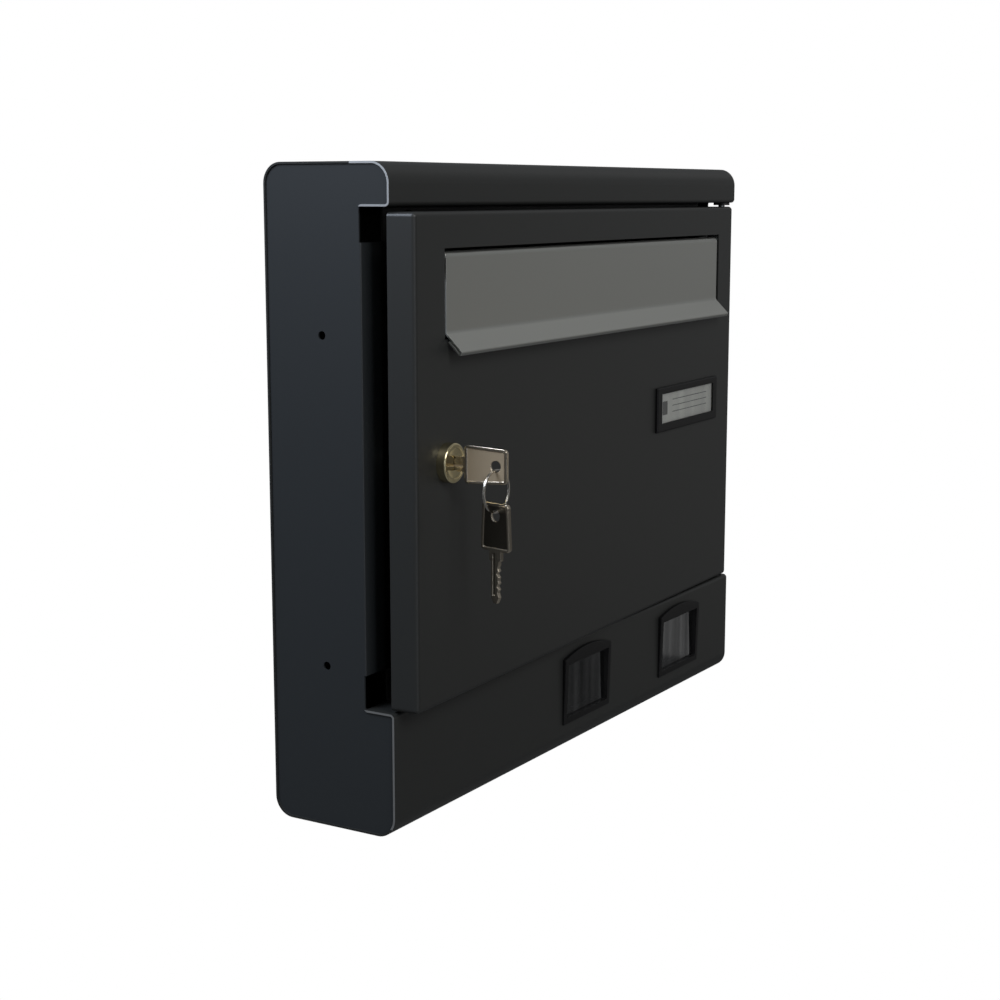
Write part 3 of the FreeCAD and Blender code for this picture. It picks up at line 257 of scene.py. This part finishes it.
# How far the sharp edges of each piece are broken, in millimetres.
BROKEN_EDGES = {
    "window_frame_centre": 0.4, "window_frame_right": 0.4, "nameplate_frame": 0.2,
    "letter_flap": 0.15, "lock_body": 0.15, "lock_plug": 0.15, "lock_nut": 0.3, "lock_cam": 0.25,
    "lock_washer": 0.1, "cam_washer": 0.15, "cam_screw": 0.3, "flap_bracket_left": 0.15,
    "flap_bracket_right": 0.15, "key_in_lock": 0.25, "spare_key": 0.25,
    "upper_hinge_bush": 0.2, "lower_hinge_bush": 0.15,
}


# Two corners closer than this are one corner.
SAME_CORNER = 0.002 * MM
# A bow face this far under the raised rim is a sunk one.
RECESS_STEP = 0.15 * MM


def mark_recess(mesh, finish):
    """Second finish on the sunk faces of a key bow: flat faces nearer to the key's middle plane
    than the raised rim. The thickness way is the least principal direction of the corners."""
    corners = np.array([corner.co for corner in mesh.vertices])
    away = np.linalg.svd(corners - corners.mean(axis=0), full_matrices=False)[2][2]
    heights = corners @ away
    heights = np.abs(heights - (heights.max() + heights.min()) / 2)
    mesh.materials.append(finish)
    for face in mesh.polygons:
        flat = abs(np.array(face.normal) @ away) > 0.95
        if flat and heights[list(face.vertices)].max() < heights.max() - RECESS_STEP:
            face.material_index = 1


def soften(name, finish):
    """Copy of a CAD node with its facets merged and its sharp edges broken, in its place."""
    facets = nodes[name].data
    corners = np.empty(len(facets.vertices) * 3)
    facets.vertices.foreach_get("co", corners)
    mesh = bpy.data.meshes.new(name + "_soft")
    mesh.from_pydata(corners.reshape(-1, 3).tolist(), [],
                     [list(face.vertices) for face in facets.polygons])
    work = bmesh.new()
    work.from_mesh(mesh)
    bmesh.ops.remove_doubles(work, verts=work.verts, dist=SAME_CORNER)
    for face in work.faces:
        face.smooth = True
    work.to_mesh(mesh)
    work.free()
    mesh.materials.clear()
    mesh.materials.append(finish)
    if name in KEY_RECESS:
        mark_recess(mesh, KEY_RECESS[name])
    piece = bpy.data.objects.new(name + "_soft", mesh)
    scene.collection.objects.link(piece)
    bevel = piece.modifiers.new("broken_edges", "BEVEL")
    bevel.width = BROKEN_EDGES[name] * MM
    bevel.segments = 2
    bevel.limit_method = "ANGLE"
    bevel.angle_limit = math.radians(36)
    bevel.use_clamp_overlap = False
    bevel.miter_outer = "MITER_ARC"
    flatten = piece.modifiers.new("flat_faces_stay_flat", "WEIGHTED_NORMAL")
    flatten.mode = "FACE_AREA"
    flatten.weight = 100
    return piece


def paint_nodes():
    """Give every CAD node the finish of its slot, and the visible ones softened edges."""
    body_of = {node: body for body, members in frame["record"]["behaviour"]["bodies"].items()
               for node in members}
    for part in frame["record"]["subparts"]:
        name, slot = part["node"], part["material_slot"]
        finish = WRAP_COAT if name == "casing_wrap" else FINISH[slot]
        nodes[name].data.materials.clear()
        nodes[name].data.materials.append(finish)
        if name in BROKEN_EDGES:
            piece = soften(name, finish)
            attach(piece, body_of[name])
            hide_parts(name)


paint_nodes()

# ---------------------------------------------------------------- split key ring

def carried_profile(name, path, across, out, closed_profile):
    """Tube surface: at each path point the profile's two numbers go along `across` and `out`.

    point(i, j) = path(i) + profile(j).first * across(i) + profile(j).second * out(i),
    with flat caps on both ends.
    """
    steps, sides = len(path), len(closed_profile)
    points = (path[:, None, :] + closed_profile[None, :, 0:1] * across[:, None, :]
              + closed_profile[None, :, 1:2] * out[:, None, :])
    first = np.arange(steps - 1)[:, None] * sides
    side = np.arange(sides)[None, :]
    ahead = (side + 1) % sides
    quads = np.stack([first + side, first + ahead, first + sides + ahead, first + sides + side],
                     axis=-1).reshape(-1, 4)
    caps = [list(range(sides - 1, -1, -1)), list(range((steps - 1) * sides, steps * sides))]
    mesh = bpy.data.meshes.new(name)
    mesh.from_pydata(points.reshape(-1, 3).tolist(), [], quads.tolist() + caps)
    piece = bpy.data.objects.new(name, mesh)
    scene.collection.objects.link(piece)
    return piece


RING_RADIUS = 10.0 * MM
WIRE_WIDE = 0.56 * MM
WIRE_TALL = 1.0 * MM
TURN_SPACING = 0.6 * MM
# The ring's plane about the vertical, in degrees: its twist in the hole plus the ajar door's.
RING_TWIST = -6.0 + 1.9


def make_split_ring():
    """Two turns of flat wire side by side: a circle in the ring's plane, shifted along the
    ring's axis by a smooth step where the first turn crosses to the second."""
    low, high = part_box("key_ring")
    centre = np.array((low + high) / 2)
    turn = math.radians(RING_TWIST)
    level_way = np.array((math.cos(turn), math.sin(turn), 0.0))
    axis = np.array((-math.sin(turn), math.cos(turn), 0.0))
    upward = np.array((0.0, 0.0, 1.0))
    along = np.linspace(0, 4 * math.pi, 193)
    crossing = np.clip((along - 1.85 * math.pi) / (0.3 * math.pi), 0, 1)
    shift = (crossing ** 2 * (3 - 2 * crossing) - 0.5) * TURN_SPACING
    spot = along + math.radians(-40)
    out = np.cos(spot)[:, None] * level_way + np.sin(spot)[:, None] * upward
    path = centre + RING_RADIUS * out + shift[:, None] * axis
    across = np.repeat(axis[None, :], len(along), axis=0)
    angle = np.linspace(0, 2 * math.pi, 17)[:-1]
    section = np.stack([
        WIRE_WIDE / 2 * np.sign(np.cos(angle)) * np.abs(np.cos(angle)) ** 0.6,
        WIRE_TALL / 2 * np.sign(np.sin(angle)) * np.abs(np.sin(angle)) ** 0.6], axis=-1)
    ring = carried_profile("split_ring", path, across, out, section)
    for face in ring.data.polygons:
        face.use_smooth = len(face.vertices) == 4
    ring.data.materials.append(FINISH["bright_steel"])
    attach(ring, "ring")
    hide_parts("key_ring")


make_split_ring()

# ---------------------------------------------------------------- floor, light and camera

def make_floor():
    """Plain white floor well below the box: even white to the eye, pale grey to the light."""
    size, level = 30.0, -1.4
    corners = [(-size, -size, level), (size, -size, level),
               (size, size, level), (-size, size, level)]
    mesh = bpy.data.meshes.new("floor")
    mesh.from_pydata(corners, [], [(0, 1, 2, 3)])
    floor = bpy.data.objects.new("floor", mesh)
    scene.collection.objects.link(floor)
    material, tree = new_material("white_paper_floor")
    path = add(tree, "ShaderNodeLightPath")
    paper = add(tree, "ShaderNodeBsdfDiffuse", Color=linear("#a0a0a0"))
    glow = add(tree, "ShaderNodeEmission", Color=(1, 1, 1, 1), Strength=1.0)
    both = add(tree, "ShaderNodeMixShader", _0=(path, "Is Camera Ray"), _1=(paper, "BSDF"),
               _2=(glow, "Emission"))
    finish_material(tree, both, "Shader")
    mesh.materials.append(material)


def make_world():
    """White backdrop for the eye, a dimmer even sky for the light."""
    world = bpy.data.worlds.new("studio")
    scene.world = world
    world.use_nodes = True
    tree = world.node_tree
    tree.nodes.clear()
    path = add(tree, "ShaderNodeLightPath")
    seen = add(tree, "ShaderNodeBackground", Color=(1, 1, 1, 1), Strength=1.0)
    lit = add(tree, "ShaderNodeBackground", Color=linear("#eceef0"), Strength=0.21)
    both = add(tree, "ShaderNodeMixShader", _0=(path, "Is Camera Ray"), _1=(lit, "Background"),
               _2=(seen, "Background"))
    add(tree, "ShaderNodeOutputWorld", Surface=(both, "Shader"))


def add_softbox(name, place, aim, width, height, watts, colour):
    """Rectangular area light at a place, facing a point."""
    data = bpy.data.lights.new(name, "AREA")
    data.shape = "RECTANGLE"
    data.size = width
    data.size_y = height
    data.energy = watts
    data.color = linear(colour)[:3]
    lamp = bpy.data.objects.new(name, data)
    scene.collection.objects.link(lamp)
    lamp.location = place
    lamp.rotation_euler = (Vector(aim) - Vector(place)).to_track_quat("-Z", "Y").to_euler()


def add_camera():
    """Camera at the left, a little above the middle of the box."""
    place = Vector((-0.8760, -0.5491, 0.1461))
    yaw = math.radians(58.64)
    pitch = math.radians(-9.59)
    ahead = Vector((math.sin(yaw) * math.cos(pitch), math.cos(yaw) * math.cos(pitch),
                    math.sin(pitch)))
    right = Vector((math.cos(yaw), -math.sin(yaw), 0))
    up = right.cross(ahead)
    turn = Matrix((right, up, -ahead)).transposed()
    data = bpy.data.cameras.new("camera")
    data.sensor_width = 36
    data.lens = 65.44
    data.clip_start = 0.01
    camera = bpy.data.objects.new("camera", data)
    scene.collection.objects.link(camera)
    camera.matrix_world = Matrix.Translation(place) @ turn.to_4x4()
    scene.camera = camera


# Name, place and aim in metres, width and height in metres, watts, colour.
SOFTBOXES = (
    ("front_softbox", (-0.7, -1.7, 1.2), (0, 0, 0), 1.0, 1.0, 18.5, "#ffffff"),
    ("left_softbox", (-0.68, 0.22, 0.60), (-0.19, -0.03, 0.05), 0.4, 0.4, 7.0, "#dce6f6"),
    ("right_high_softbox", (1.5, -0.35, 1.0), (0.1, -0.05, 0.1), 0.5, 0.9, 0.3, "#ffffff"),
    ("right_front_softbox", (2.2, -0.75, -0.1), (0.1, -0.07, 0.0), 0.9, 1.2, 0.4, "#ffffff"),
    ("left_strip", (-1.05, -1.75, -0.2), (-0.19, -0.07, 0.0), 0.2, 1.4, 2.4, "#e6edf8"),
    ("lock_card", (1.48, -1.17, -0.27), (-0.161, -0.072, 0.02), 0.16, 0.5, 0.12, "#fff4dc"),
)

make_floor()
make_world()
for softbox in SOFTBOXES:
    add_softbox(*softbox)
add_camera()
scene.view_settings.view_transform = "Standard"
